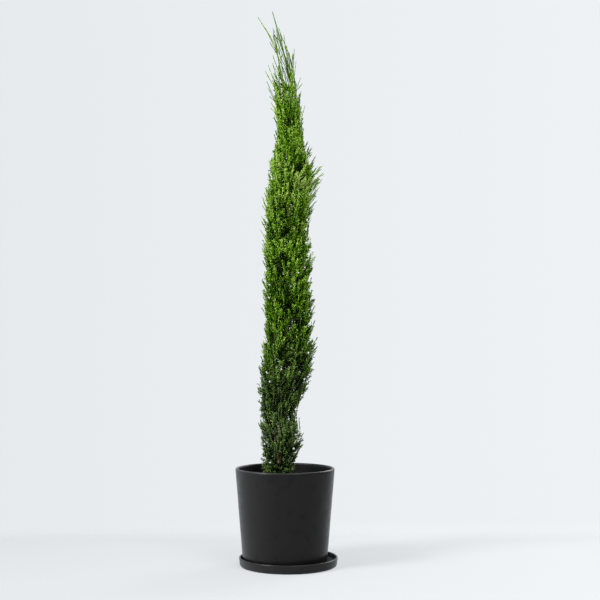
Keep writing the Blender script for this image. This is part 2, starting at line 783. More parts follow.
def seamless_paper(settings):
    """Matte seamless paper, which fades into the backdrop where it rises behind the pot and far out."""
    material, tree, shader, place = new_material("seamless_paper", roughness=0.95, specular=0.1)
    axes = add_node(tree, "ShaderNodeSeparateXYZ", None, {0: place})
    across = {"From Min": -0.9, "From Max": 0.9}
    side = add_node(tree, "ShaderNodeMapRange", across, {"Value": axes.outputs[0]})
    sheet = {"data_type": "RGBA", 6: (*settings.paper, 1.0), 7: (*settings.paper_right, 1.0)}
    tint = add_node(tree, "ShaderNodeMix", sheet, {0: side.outputs[0]})
    tooth = add_node(tree, "ShaderNodeTexNoise", {"Scale": 1 / 0.002, "Detail": 2.0}, {"Vector": place})
    surfaced(material, tint, tooth, strength=0.05, depth=0.0002)
    smooth = {"interpolation_type": "SMOOTHSTEP"}
    rise = smooth | {"From Min": settings.floor_back, "From Max": settings.floor_back + settings.floor_rise}
    behind = add_node(tree, "ShaderNodeMapRange", rise, {"Value": axes.outputs[1]})
    away = add_node(tree, "ShaderNodeVectorMath", {"operation": "LENGTH"}, {0: place})
    outer = smooth | {"From Min": 1.6, "From Max": 4.5}
    far = add_node(tree, "ShaderNodeMapRange", outer, {"Value": away.outputs[1]})
    more = {"operation": "MAXIMUM"}
    edge = add_node(tree, "ShaderNodeMath", more, {0: behind.outputs[0], 1: far.outputs[0]})
    # The sweep is lit from below as well, so that shadows on it stay faint
    gone = add_node(tree, "ShaderNodeMath", more | {1: settings.sweep_light}, {0: edge.outputs[0]})
    clear = add_node(tree, "ShaderNodeBsdfTransparent")
    layers = {0: gone.outputs[0], 1: shader.outputs[0], 2: clear.outputs[0]}
    faded = add_node(tree, "ShaderNodeMixShader", None, layers)
    tree.links.new(faded.outputs[0], tree.nodes["Material Output"].inputs[0])
    return material


# Meshes from arrays

# A slant that no limb takes, to turn the rings of tubes by
SLANT = (0.83, 0.55, 0.06)
NOISE_SHIFT = 17.3

# Triangles of a cord: foot, three points round its belt and tip, or three points round its foot and tip
SPINDLE_FACES = ((0, 2, 1), (0, 3, 2), (0, 1, 3), (1, 2, 4), (2, 3, 4), (3, 1, 4))
CONE_FACES = ((0, 2, 1), (0, 1, 3), (1, 2, 3), (2, 0, 3))


def unit(vectors):
    """The vectors, made one long."""
    return vectors / np.maximum(np.linalg.norm(vectors, axis=-1, keepdims=True), TINY)


def between(start, end, share):
    """The value or place that lies that share of the way from start to end."""
    return start + (end - start) * share


def towards(first, second, angle):
    """The directions at an angle from the first towards the second, which are square to each other."""
    return first * np.cos(angle) + second * np.sin(angle)


def full_turn(sides):
    """The angles of that many points spread evenly round a ring."""
    return np.arange(sides) * 2 * np.pi / sides


def turned(points, angle, first, second):
    """The points, turned round the origin by an angle from their first axis towards their second."""
    moved = points.copy()
    moved[..., first] = points[..., first] * np.cos(angle) - points[..., second] * np.sin(angle)
    moved[..., second] = points[..., first] * np.sin(angle) + points[..., second] * np.cos(angle)
    return moved


def new_object(name, data):
    """An object with that data, put into the scene."""
    obj = bpy.data.objects.new(name, data)
    bpy.context.scene.collection.objects.link(obj)
    return obj


def add_piece(name, shape, material, nodes=()):
    """An object of (points, triangles) that rides on the plant, in that slot, and stands for those solids."""
    points, faces = shape
    mesh = bpy.data.meshes.new(name)
    mesh.vertices.add(len(points))
    mesh.vertices.foreach_set("co", points.astype(np.float32).ravel())
    mesh.loops.add(faces.size)
    mesh.loops.foreach_set("vertex_index", faces.astype(np.int32).ravel())
    mesh.polygons.add(len(faces))
    mesh.polygons.foreach_set("loop_start", np.arange(0, faces.size, 3, dtype=np.int32))
    mesh.update(calc_edges=True)
    mesh.shade_smooth()
    mesh.materials.append(material)
    piece = new_object(name, mesh)
    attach(piece, "root")
    if nodes:
        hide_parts(*nodes)
    return piece


def joined(shapes):
    """Several (points, triangles) as one."""
    starts = np.cumsum([0] + [len(points) for points, _ in shapes[:-1]])
    faces = [faces + start for (_, faces), start in zip(shapes, starts)]
    return np.concatenate([points for points, _ in shapes]), np.concatenate(faces)


def copies(points, faces):
    """The triangles of n like shapes, whose points are an array of (n, points in each, 3)."""
    starts = np.arange(len(points)) * points.shape[1]
    return points.reshape(-1, 3), (faces[None] + starts[:, None, None]).reshape(-1, 3)


def ring_faces(rings, sides):
    """Triangles between closed rings of points, facing out where the rings run down an upright shape."""
    i, j = np.meshgrid(np.arange(rings - 1), np.arange(sides), indexing="ij")
    a, d = i * sides + j, i * sides + (j + 1) % sides
    b, c = a + sides, d + sides
    return np.stack([a, b, c, a, c, d], axis=-1).reshape(-1, 3)


def cap_faces(middle, first, sides):
    """A fan of triangles from a middle point to a ring, facing the side from which the ring turns left."""
    j = np.arange(sides)
    return np.stack([np.full(sides, middle), first + j, first + (j + 1) % sides], axis=-1)


def tubes(paths, radii, sides):
    """Closed tubes along n paths of m points. Radii are (n, m), or (n, m, sides) with relief."""
    n, m = paths.shape[:2]
    along = unit(np.gradient(paths, axis=1))
    across = unit(np.cross(along, unit(np.array(SLANT))))
    out = np.cross(along, across)
    around = towards(across[:, :, None], out[:, :, None], full_turn(sides)[:, None])
    radii = radii if radii.ndim == 3 else radii[:, :, None]
    rings = (paths[:, :, None] + around * radii[..., None]).reshape(n, m * sides, 3)
    points = np.concatenate([rings, paths[:, :1], paths[:, -1:]], axis=1)
    walls = ring_faces(m, sides)[:, ::-1]
    foot = cap_faces(m * sides, 0, sides)[:, ::-1]
    tip = cap_faces(m * sides + 1, (m - 1) * sides, sides)
    return copies(points, np.concatenate([walls, foot, tip]))


def frames(along, draw):
    """Two directions square to each of these, turned by chance."""
    across = unit(np.cross(along, draw.normal(size=along.shape)))
    return across, np.cross(along, across)


def three_round(middles, some, draw):
    """The three corners round each middle of some cords, as far out as the cords are wide."""
    across, out = frames(unit(some.tip - some.root), draw)
    return [middles + towards(across, out, angle) * some.width[:, None] / 2 for angle in full_turn(3)]


def spindles(some, draw):
    """Closed three-sided cords, widest at their belt."""
    belt = three_round(between(some.root, some.tip, BELT), some, draw)
    return copies(np.stack([some.root, *belt, some.tip], axis=1), np.array(SPINDLE_FACES))


def cones(some, draw):
    """Closed three-sided cords, widest at their roots."""
    foot = three_round(some.root, some, draw)
    return copies(np.stack([*foot, some.tip], axis=1), np.array(CONE_FACES))


def arc(centre, radius, start, end, steps=10):
    """Points of a profile's round corner, by angle in degrees, both ends included."""
    angles = (math.radians(start + (end - start) * i / steps) for i in range(steps + 1))
    return [(centre[0] + radius * math.cos(a), centre[1] + radius * math.sin(a)) for a in angles]


def finer(profile, step):
    """The profile with points added, so that none lies further than step from the next."""
    profile = np.array(profile)
    parts = [profile[:1]]
    for a, b in zip(profile, profile[1:]):
        steps = max(1, math.ceil(math.dist(a, b) / step))
        parts.append(between(a, b, np.arange(1, steps + 1)[:, None] / steps))
    return np.concatenate(parts)


def lathe(profile, sides, centre_x=0.0):
    """A closed shape turned from a profile of (radius, height) that starts and ends on the axis."""
    rings = profile[1:-1]
    turn = full_turn(sides)
    x = centre_x + rings[:, :1] * np.cos(turn)
    y = rings[:, :1] * np.sin(turn)
    z = np.repeat(rings[:, 1:], sides, axis=1)
    poles = [(centre_x, 0.0, profile[0][1]), (centre_x, 0.0, profile[-1][1])]
    points = np.concatenate([np.stack([x, y, z], axis=-1).reshape(-1, 3), poles])
    count = len(rings) * sides
    top = cap_faces(count, 0, sides)
    bottom = cap_faces(count + 1, count - sides, sides)[:, ::-1]
    return points, np.concatenate([ring_faces(len(rings), sides), top, bottom])


def wavy(points, size, seed):
    """Smooth noise at each point, about -1 to 1, in waves of that size (one number, or one an axis)."""
    shifted = points / np.array(size) + seed * NOISE_SHIFT
    return np.array([noise.noise(Vector(point)) for point in shifted])


# Pot, saucer and potting mix

POT_SIDES = 144
PROFILE_STEP = 0.010

# Fired clay strays from true round in broad swells and in ripples a share as deep
SWELL_SIZE = (0.09, 0.09, 0.05)
RIPPLE_SIZE = (0.03, 0.03, 0.012)
RIPPLE_SHARE = 0.35
POT_SEED = 3
SAUCER_SEED = 8

# The mix: lumps with small ones on them, pressed flat on top, and bits of bark strewn over it
LUMP_SIZE = 0.014
SMALL_LUMP_SIZE = 0.005
SMALL_LUMP_SHARE = 0.6
FLAT_ABOVE = 0.35
LUMP_SEED = 5
TOP_STEP = 0.003
SIDE_STEP = 0.05
CHIP_SHAPE = (1.0, 0.62, 0.28)
CHIP_SINK = 0.35
CHIP_SEED = 11
CRUMB_SHAPE = (1.0, 0.7, 0.5)
CRUMB_SINK = 0.2
CRUMB_SEED = 12
BIT_SCATTER = 0.35
BIT_KNOCKS = (0.70, 1.20)
BIT_TILT = 0.22
CLEAR_OF_TRUNK = 0.022


def pot_inner_radius(settings, height):
    """The radius of the pot's inner wall at a height above the ground."""
    share = (height - POT_LOW.z) / (POT_HIGH.z - POT_LOW.z)
    return between(settings.foot_radius, settings.rim_radius, share) - settings.wall


def pot_profile(settings):
    """A plain tapered pot with straight walls, a round lip and a soft corner at its foot."""
    lip = settings.wall / 2
    floor = POT_LOW.z + settings.floor
    corner = (settings.foot_radius - settings.corner, POT_LOW.z + settings.corner)
    return [
        (0.0, floor),
        (pot_inner_radius(settings, floor), floor),
        *arc((settings.rim_radius - lip, POT_HIGH.z - lip), lip, 180, 0),
        *arc(corner, settings.corner, 0, -90),
        (0.0, POT_LOW.z),
    ]


def saucer_profile(settings):
    """A shallow dish with a flat underside, a nearly upright wall and a round lip."""
    lip = settings.saucer_wall / 2
    lean = math.degrees(math.atan2(settings.saucer_radius - settings.saucer_foot, SAUCER_HIGH.z))
    corner = settings.saucer_corner
    return [
        (0.0, settings.saucer_floor),
        (settings.saucer_foot - settings.saucer_wall, settings.saucer_floor),
        *arc((settings.saucer_radius - lip, SAUCER_HIGH.z - lip), lip, 180, 0),
        *arc((settings.saucer_foot - corner, corner), corner, -lean, -90),
        (0.0, 0.0),
    ]


def fired(shape, unevenness, seed, centre_x=0.0):
    """The turned shape, its walls moved in and out a little as firing leaves them."""
    points, faces = shape
    away = points - (centre_x, 0.0, 0.0)
    level = unit(away * (1.0, 1.0, 0.0))
    strays = wavy(points, SWELL_SIZE, seed) + RIPPLE_SHARE * wavy(points, RIPPLE_SIZE, seed + 1)
    return points + level * (strays * unevenness)[:, None], faces


def make_pot(settings):
    """The pot, turned and slightly uneven."""
    shape = lathe(finer(pot_profile(settings), PROFILE_STEP), POT_SIDES)
    shape = fired(shape, settings.unevenness, POT_SEED)
    material = slip_cast_stoneware("matte_glazed_stoneware", settings, settings.glaze)
    return add_piece("pot_body", shape, material, ["pot"])


def make_saucer(settings):
    """The saucer, a little right of the pot's axis, as it stands in the photograph."""
    middle = (SAUCER_LOW.x + SAUCER_HIGH.x) / 2
    shape = lathe(finer(saucer_profile(settings), PROFILE_STEP), POT_SIDES, middle)
    shape = fired(shape, settings.unevenness, SAUCER_SEED, middle)
    material = slip_cast_stoneware("worn_glazed_stoneware", settings, settings.saucer_glaze)
    return add_piece("saucer_dish", shape, material, ["saucer"])


def mix_height(mix, radius, points):
    """The height of the mix's lumpy surface at each point, from its distance to the pot's axis."""
    far = np.hypot(points[:, 0], points[:, 1])
    fall = np.clip((far - mix.plateau) / (radius - mix.plateau), 0.0, 1.0)
    level = np.column_stack([points[:, :2], np.zeros(len(points))])
    small = SMALL_LUMP_SHARE * wavy(level, SMALL_LUMP_SIZE, LUMP_SEED + 1)
    lumps = wavy(level, LUMP_SIZE, LUMP_SEED) + small
    return MIX_TOP - mix.edge_drop * fall + mix.lumps * np.minimum(lumps, FLAT_ABOVE)


def mix_body(pot, mix):
    """The filling of the pot, its top lumpy and its sides against the wall."""
    edge = MIX_TOP - mix.edge_drop
    floor = MIX_LOW.z
    radius = pot_inner_radius(pot, edge) - 2 * GAP
    top = [(0.0, MIX_TOP), (mix.plateau, MIX_TOP), (radius, edge)]
    below = [(pot_inner_radius(pot, floor) - 2 * GAP, floor), (0.0, floor)]
    points, faces = lathe(np.concatenate([finer(top, TOP_STEP), finer(below, SIDE_STEP)]), POT_SIDES)
    on_top = points[:, 2] > edge - GAP
    points[on_top, 2] = mix_height(mix, radius, points[on_top])
    return points, faces


def chunk():
    """The twelve corners and twenty faces of an icosahedron."""
    shape = bmesh.new()
    bmesh.ops.create_icosphere(shape, subdivisions=1, radius=1.0)
    points = np.array([tuple(vert.co) for vert in shape.verts])
    faces = np.array([[vert.index for vert in face.verts] for face in shape.faces])
    shape.free()
    return points, faces


def strewn(pot, mix, count, size, shape_of, sink, seed):
    """Broken bits that lie on the mix: chunks knocked out of round, flattened, turned and settled."""
    draw = np.random.default_rng(seed)
    radius = pot_inner_radius(pot, MIX_TOP - mix.edge_drop) - size
    corners, faces = chunk()
    sizes = size * draw.lognormal(0.0, BIT_SCATTER, count)[:, None] * np.array(shape_of) / 2
    knocked = corners * draw.uniform(*BIT_KNOCKS, (count, len(corners), 1)) * sizes[:, None]
    turn = draw.uniform(0, 2 * np.pi, (count, 1))
    tilt = draw.normal(0.0, BIT_TILT, (count, 1))
    bits = turned(turned(knocked, tilt, 2, 0), turn, 0, 1)
    far, azimuth = radius * np.sqrt(draw.uniform(0, 1, count)), draw.uniform(0, 2 * np.pi, count)
    places = compass(azimuth) * far[:, None]
    places[:, 2] = mix_height(mix, radius, places) + sizes[:, 2] * sink
    from_trunk = np.linalg.norm(places - on_trunk(np.zeros(count)), axis=1)
    return copies((bits + places[:, None])[from_trunk > CLEAR_OF_TRUNK + size / 2], faces)


def make_mix(pot, mix):
    """The potting mix with chips and crumbs of bark on it."""
    body = add_piece("mix_body", mix_body(pot, mix), composted_bark_mix(mix), ["potting_mix"])
    chips = strewn(pot, mix, mix.chips, mix.chip_length, CHIP_SHAPE, CHIP_SINK, CHIP_SEED)
    crumbs = strewn(pot, mix, mix.crumbs, mix.crumb_length, CRUMB_SHAPE, CRUMB_SINK, CRUMB_SEED)
    add_piece("mix_chips", joined([chips, crumbs]), pine_bark_chips(mix))
    return body


# The source's rule for the limbs and masses


def read_rows(rows, h):
    """A smooth curve through rows of (h, values), read at the heights h: cubic between rows."""
    rows = np.array(rows)
    heights, values = rows[:, 0], rows[:, 1:]
    order = np.arange(len(rows))
    before, after = np.maximum(order - 1, 0), np.minimum(order + 1, len(rows) - 1)
    slopes = (values[after] - values[before]) / (heights[after] - heights[before])[:, None]
    h = np.clip(h, heights[0], heights[-1])
    k = np.minimum(np.searchsorted(heights, h, side="right") - 1, len(rows) - 2)
    span = (heights[k + 1] - heights[k])[:, None]
    t = (h - heights[k])[:, None] / span
    return (
        values[k] * (1 + 2 * t) * (1 - t) ** 2
        + values[k + 1] * t * t * (3 - 2 * t)
        + slopes[k] * span * t * (1 - t) ** 2
        - slopes[k + 1] * span * t * t * (1 - t)
    )


def compass(azimuth):
    """The level directions at azimuths in radians, from +X towards +Y."""
    azimuth = np.asarray(azimuth, float)
    return np.stack([np.cos(azimuth), np.sin(azimuth), np.zeros_like(azimuth)], axis=-1)


def on_route(route, h):
    """The points of a route of (h, x, y) at those heights."""
    return np.column_stack([read_rows(route, h), MIX_TOP + h])


def on_trunk(h):
    """The points of the trunk's centre line at those heights."""
    return on_route(TRUNK_ROUTE, h)


def on_outline(h, azimuth, share):
    """The points of the crown's outline at those heights and azimuths, a share of the way out."""
    rows = read_rows(CROWN, h)
    return np.column_stack([rows[:, :2], MIX_TOP + h]) + compass(azimuth) * (rows[:, 2] * share)[:, None]


def trunk_radius(wood, h):
    """The trunk's radius: an even taper, and the root flare at its foot."""
    taper = between(wood.trunk_radius, TRUNK_TIP_RADIUS, np.minimum(h / TRUNK_TOP, 1.0))
    return taper + wood.flare * np.exp(-h / FLARE_HEIGHT)


def bezier(points, t):
    """Places on curves whose control points are arrays of (n, 3), at shares t, an array of (n, m)."""
    points = [point[:, None] for point in points]
    while len(points) > 1:
        points = [between(a, b, t[..., None]) for a, b in zip(points, points[1:])]
    return points[0]


class Mass:
    """One mass of foliage: its spine, from the foot of its stem to its tip, and its share of the ring."""

    def __init__(self, tier, index):
        self.tier = tier
        self.index = index
        self.name = f"foliage_{tier.name}" + (f"_{index + 1}" if tier.count > 1 else "")
        self.azimuth = math.radians(tier.azimuth + 360 * index / tier.count)
        self.half_ring = math.pi / tier.count
        self.length = tier.tip_h - tier.foot_h
        self.inner = SPINE_INNER if tier.bough_h is not None else 0.0

    def outline(self, h, azimuth, share):
        """The points on the outline at those heights and azimuths: the crown's, or a leader's own."""
        if not self.tier.route:
            return on_outline(h, azimuth, share)
        fade = np.maximum(self.tier.tip_h - h, 0.0) / self.length
        out = LEADER_SPREAD * share * fade**0.5
        return on_route(self.tier.route, h) + compass(azimuth) * out[:, None]

    def spine(self, s):
        """The points of the spine at shares s of its length: off its limb, then up under the outline."""
        s = np.asarray(s, float)
        h = self.tier.foot_h + self.length * s
        if self.tier.route:
            return on_route(self.tier.route, h)
        out = between(SPINE_OUTER, self.inner, np.exp(-s / SPINE_RISE))
        outline = self.outline(h, self.azimuth + SPINE_TWIST * s, np.ones_like(h))
        return between(on_trunk(h), outline, out[:, None])

    def share_at(self, h):
        """The shares of the spine at heights h, kept inside the spine's ends."""
        return np.clip((h - self.tier.foot_h) / self.length, *SPINE_ENDS)


MASSES = [Mass(tier, index) for tier in TIERS for index in range(tier.count)]


def bough_controls(mass, wood):
    """Control points of a bough, from the trunk's centre line to just short of its mass's foot."""
    height = np.array([mass.tier.bough_h])
    start, (foot, further) = on_trunk(height)[0], mass.spine([0.0, 0.01])
    lead = unit(further - foot)
    arm = np.linalg.norm(foot - start) * BOUGH_ARM
    leaving = start + unit(unit((foot - start) * (1, 1, 0)) + (0, 0, 1)) * arm
    end = foot - lead * GAP
    thick = trunk_radius(wood, height)[0] * BOUGH_RADIUS_SHARE
    return (start, leaving, end - lead * arm, end), thick


# Trunk and boughs

TRUNK_RINGS = 420
TRUNK_SIDES = 40
BOUGH_RINGS = 34
BOUGH_SIDES = 14
TRUNK_SEED = 21
BOUGH_SEED = 31

# Rings of the trunk lie closer together near its foot
RING_CROWDING = 1.3

# Bark: furrows between the strips, finer fibres on them, and swells of the whole limb
FURROW_SHARPNESS = 3.2
FIBRES_TO_STRIP = (2.5, 2.5, 3.0)
FIBRE_SHARE = 0.35
LIMB_SWELL = (0.03, 0.03, 0.06)
LIMB_SWELL_SHARE = 0.5
DEEPEST_BARK = 1.3

# Low ridges in which the flare runs out towards the roots: rows of (count, share, turn)
ROOT_RIDGES = ((3, 1.0, 0.7), (5, 0.6, 2.0))
ROOT_RIDGE_DEPTH = 0.0013
ROOT_RIDGE_HEIGHT = 1.4 * FLARE_HEIGHT


def bark_relief(wood, paths, radii, sides, seed):
    """Radii of (n, m, sides) with long wandering furrows, shallower on thin limbs."""
    n, m = radii.shape
    skin = compass(full_turn(sides))[:, :2] * radii[:, :, None, None]
    height = np.repeat(paths[:, :, None, 2:], sides, axis=2)
    places = np.concatenate([skin, height], axis=-1).reshape(-1, 3)
    strip = np.array((wood.strip, wood.strip, wood.strip_length))
    furrows = np.clip(1 - FURROW_SHARPNESS * np.abs(wavy(places, strip, seed)), 0.0, 1.0)
    fibres = FIBRE_SHARE * wavy(places, strip / FIBRES_TO_STRIP, seed + 1)
    swells = LIMB_SWELL_SHARE * wavy(places, LIMB_SWELL, seed + 2)
    depth = wood.fissure * np.minimum(radii / wood.trunk_radius, DEEPEST_BARK)
    return radii[:, :, None] + (fibres + swells - furrows).reshape(n, m, sides) * depth[:, :, None]


def make_trunk(wood):
    """The trunk with its bark's relief, from a flat cut at the mix to the leader's foot."""
    h = TRUNK_TOP * (np.arange(TRUNK_RINGS + 1) / TRUNK_RINGS) ** RING_CROWDING
    path = on_trunk(h)
    path[0, 2] = MIX_TOP + GAP
    radii = bark_relief(wood, path[None], trunk_radius(wood, h)[None], TRUNK_SIDES, TRUNK_SEED)
    turn = full_turn(TRUNK_SIDES)
    ridges = sum(share * np.cos(count * turn + start) for count, share, start in ROOT_RIDGES)
    radii = radii + ROOT_RIDGE_DEPTH * np.exp(-h / ROOT_RIDGE_HEIGHT)[:, None] * ridges
    shape = tubes(path[None], radii, TRUNK_SIDES)
    return add_piece("trunk_bark", shape, bark_material(wood), ["trunk"])


def bark_material(wood):
    """The bark of trunk and boughs, made once."""
    return bpy.data.materials.get("fibrous_cypress_bark") or fibrous_cypress_bark(wood)


def make_boughs(wood):
    """All the boughs with their bark, each from the trunk's heart to the foot of its mass."""
    boughed = [mass for mass in MASSES if mass.tier.bough_h is not None]
    controls, thick = zip(*[bough_controls(mass, wood) for mass in boughed])
    t = np.tile(np.linspace(0.0, 1.0, BOUGH_RINGS), (len(boughed), 1))
    paths = bezier(np.array(controls).swapaxes(0, 1), t)
    radii = between(np.array(thick)[:, None], STEM_RADIUS, t)
    radii = bark_relief(wood, paths, radii, BOUGH_SIDES, BOUGH_SEED)
    nodes = [mass.name.replace("foliage", "bough") for mass in boughed]
    return add_piece("bough_bark", tubes(paths, radii, BOUGH_SIDES), bark_material(wood), nodes)


# Shoots, branchlets and their colours


class Columns:
    """Like arrays, each of which says one thing about all of a number of shoots or cords."""

    def only(self, chosen):
        """Those of them that are chosen."""
        return type(self)(*[getattr(self, name)[chosen] for name in self.__annotations__])


@dataclass
class Shoots(Columns):
    """Arrays of shoots: where each leaves, bends and ends, its tone and how loose it is."""

    root: np.ndarray
    bend: np.ndarray
    tip: np.ndarray
    tone: np.ndarray
    loose: np.ndarray

    def at(self, t):
        """The places on the shoots at shares t of their length."""
        return bezier([self.root, self.bend, self.tip], t)

    def long_ones(self):
        """Which of them are whips."""
        return self.loose >= WHIP_FROM


@dataclass
class Cords(Columns):
    """Arrays of straight cords of scale leaves: foot, end, width and kind of colour."""

    root: np.ndarray
    tip: np.ndarray
    width: np.ndarray
    kind: np.ndarray


def gathered(groups):
    """Several Shoots or Cords as one."""
    kind = type(groups[0])
    columns = [[getattr(group, name) for group in groups] for name in kind.__annotations__]
    return kind(*[np.concatenate(column) for column in columns])


def stacked(parts):
    """Several lists of like arrays as one list."""
    return [np.concatenate(column) for column in zip(*parts)]


def golden_turns(count):
    """The azimuths of that many shoots, spread evenly all round."""
    return np.arange(count) * GOLDEN * 2 * np.pi


def spray_shoots(mass, crown):
    """The shoots of a mass: a lead shoot for each of the source's sprays, and its side shoots."""
    draw = random.Random(SEED + 97 * mass.index + round(1000 * mass.tier.foot_h))
    lowest = mass.tier.foot_h + FIRST_SPRAY
    highest = min(mass.tier.tip_h + LAST_SPRAY, TREE_HEIGHT)
    count = round((highest - lowest) / SPRAY_SPACING)
    k = np.arange(count)
    drawn = np.array([(draw.uniform(*HEIGHT_SCATTER), draw.uniform(*OUTLINE_SCATTER)) for _ in k])
    h = np.minimum(between(lowest, highest, (k + 0.5) / count) + drawn[:, 0], highest)
    middle = mass.azimuth + SPINE_TWIST * mass.share_at(h)
    azimuth = middle + (2 * ((k * GOLDEN) % 1.0) - 1) * SPRAY_SWING * mass.half_ring
    numbers = np.random.default_rng(draw.randrange(10**9))
    tone = numbers.normal(0.0, TONE_OF_SPRAY, count)
    loose = np.ones(count) if mass.tier.route else read_rows(LOOSE_ROWS, h)[:, 0]
    reach = drawn[:, 1] * (1 - LOOSE_PULL * loose * numbers.uniform(0, 1, count))
    if mass.tier.route:
        reach = reach * LEADER_SHARE
    else:
        back, dimmed = lobes(mass.outline(h, azimuth, reach), h)
        reach = reach * dense_share(h, azimuth) * (1 - back)
        tone = tone + dimmed
    tip = mass.outline(h, azimuth, reach)
    rise = SPRAY_RISE * mass.tier.blade * (1 + LOOSE_RISE * loose)
    base = mass.spine(np.minimum(mass.share_at(h - rise), HIGHEST_BASE))
    lead = shoot_to(mass, base, tip, h, middle, tone, loose)
    kept = numbers.uniform(0, 1, count) > LOOSE_LEADS * loose
    if mass.tier.route:
        return [lead.only(k % LEADER_EVERY == 0)]
    shoots = [lead.only(kept)]
    radius = np.linalg.norm((tip - mass.spine(mass.share_at(h)))[:, :2], axis=1) + SIDE_RADIUS
    for side in range(crown.side_shoots):
        sign = 1 if side % 2 else -1
        aside = sign * numbers.uniform(*SIDE_ASIDE, count) * mass.tier.blade
        lower_h = np.maximum(h - numbers.uniform(*SIDE_DROP, count) * mass.tier.blade, LOWEST_TIP_H)
        side_reach = reach * numbers.uniform(*SIDE_REACH, count)
        side_tip = mass.outline(lower_h, azimuth + aside / radius, side_reach)
        leaves = lead.at(numbers.uniform(*SIDE_LEAVES, (count, 1)))[:, 0]
        bend = between(leaves, side_tip, SIDE_BEND) + unit(side_tip - tip) * (1, 1, 0) * SIDE_BOW
        side_tone = tone + numbers.normal(0.0, TONE_OF_SIDE, count)
        side_shoots = Shoots(leaves, bend, side_tip, side_tone, loose)
        shoots.append(side_shoots.only(numbers.uniform(0, 1, count) > LOOSE_SIDES * loose))
    return shoots


def lobes(tip, h):
    """How far tips lie back of the outline, and how much brighter they are, by the lobes they stand on."""
    streak = wavy(tip, STREAK_SIZE, STREAK_SEED)
    aside = tip[:, 0] - read_rows(CLEFT_ROWS, h)[:, 0]
    in_front = (tip[:, 1] < 0) & (h > CLEFT_ROWS[0][0]) & (h < CLEFT_ROWS[-1][0])
    cleft = np.exp(-((aside / CLEFT_WIDTH) ** 2)) * in_front
    lobe = np.exp(-(((aside - LOBE_ASIDE) / LOBE_WIDTH) ** 2)) * in_front
    back = STREAK_DEPTH * np.clip(-streak, 0.0, 1.0) + CLEFT_DEPTH * cleft
    return back, STREAK_TONE * streak - CLEFT_TONE * cleft + LOBE_TONE * lobe


def shoot_to(mass, base, tip, h, middle, tone, loose):
    """Lead shoots from the spine to their tips, bent where the source's twig meets its blade."""
    out = tip - mass.spine(mass.share_at(h))
    facing = compass(middle)
    aside = (out - facing * (out * facing).sum(axis=1)[:, None]) * (1, 1, 0)
    way = tip - (base + aside * (ROOT_ASIDE if mass.tier.cored else 0.0))
    far = np.linalg.norm(way, axis=1)
    blade = np.minimum(far * BLADE_SHARE, BLADE_LENGTH * mass.tier.blade)
    return Shoots(base, tip - way * (blade / far)[:, None], tip, tone, loose)


def whips(foot_h, tip, lean, draw):
    """Long loose shoots from the trunk to their tips. A high lean takes them out early and then up."""
    root = on_trunk(foot_h)
    share = np.column_stack([lean, lean, np.full(len(lean), WHIP_BEND)])
    tone = WHIP_TONE + draw.normal(0.0, TONE_OF_SPRAY, len(tip))
    return Shoots(root, between(root, tip, share), tip, tone, np.ones(len(tip)))


def forks(shoots, draw):
    """A side shoot on each whip, a little aslant of its end."""
    count = len(shoots.root)
    t = draw.uniform(*FORK_LEAVES, (count, 1))
    root = shoots.at(t)[:, 0]
    along = unit(shoots.at(t + FORK_STEP)[:, 0] - root)
    way = unit(along + draw.normal(0.0, FORK_SPREAD, along.shape)) * draw.uniform(*FORK_LENGTH, (count, 1))
    return Shoots(root, root + way / 2 + along * FORK_BOW, root + way, shoots.tone, shoots.loose)


def top_shoots(draw):
    """The long shoots that stand clear of the top, and as many again that stand out to front and back."""
    rows = np.array(TOP_SHOOTS)
    h, lean = rows[:, 0], rows[:, 2]
    order = np.arange(len(rows))
    start = on_trunk(h)
    tip = np.column_stack([rows[:, 1], TOP_SHOOT_Y * np.sin(order * TOP_SHOOT_STEP), MIX_TOP + h])
    turn = np.where(order % 2, 1, -1) * TURNED_ROUND
    tips = np.concatenate([tip, start + turned(tip - start, turn, 0, 1)])
    foot_h = np.tile(h, 2) - draw.uniform(*TOP_SHOOT_RISE, len(tips))
    return whips(foot_h, tips, np.tile(lean, 2), draw)


def fan_shoots(draw):
    """The fan of arching shoots on the right, whose tips lie on its edge or a little inside it."""
    h = between(FAN_ROWS[0][0], FAN_ROWS[-1][0], (np.arange(FAN_SHOOTS) * GOLDEN) % 1.0)
    x = read_rows(FAN_ROWS, h)[:, 0] * draw.uniform(*FAN_TIPS, FAN_SHOOTS)
    y = draw.normal(0.0, FAN_DEPTH, FAN_SHOOTS)
    tip = np.column_stack([x, y, MIX_TOP + h])
    fan = whips(h - draw.uniform(*FAN_RISE, FAN_SHOOTS), tip, draw.uniform(*FAN_LEAN, FAN_SHOOTS), draw)
    fan.tone += FAN_TONE - WHIP_TONE
    fan.loose[:] = FAN_LOOSE
    return fan


def stray_shoots(draw):
    """Single shoots all round, each proud of its neighbours."""
    h = draw.uniform(*STRAY_H, STRAY_SHOOTS)
    azimuth = golden_turns(STRAY_SHOOTS)
    tip = on_outline(h, azimuth, draw.uniform(*STRAY_REACH, STRAY_SHOOTS))
    root_h = np.maximum(h - draw.uniform(*STRAY_RISE, STRAY_SHOOTS), LOW_FEET[1])
    root = on_outline(root_h, azimuth, STRAY_ROOT * dense_share(root_h, azimuth))
    bend = between(root, tip, np.array(STRAY_BEND))
    tone = draw.normal(0.0, TONE_OF_SPRAY, STRAY_SHOOTS)
    return Shoots(root, bend, tip, tone, np.full(STRAY_SHOOTS, STRAY_LOOSE))


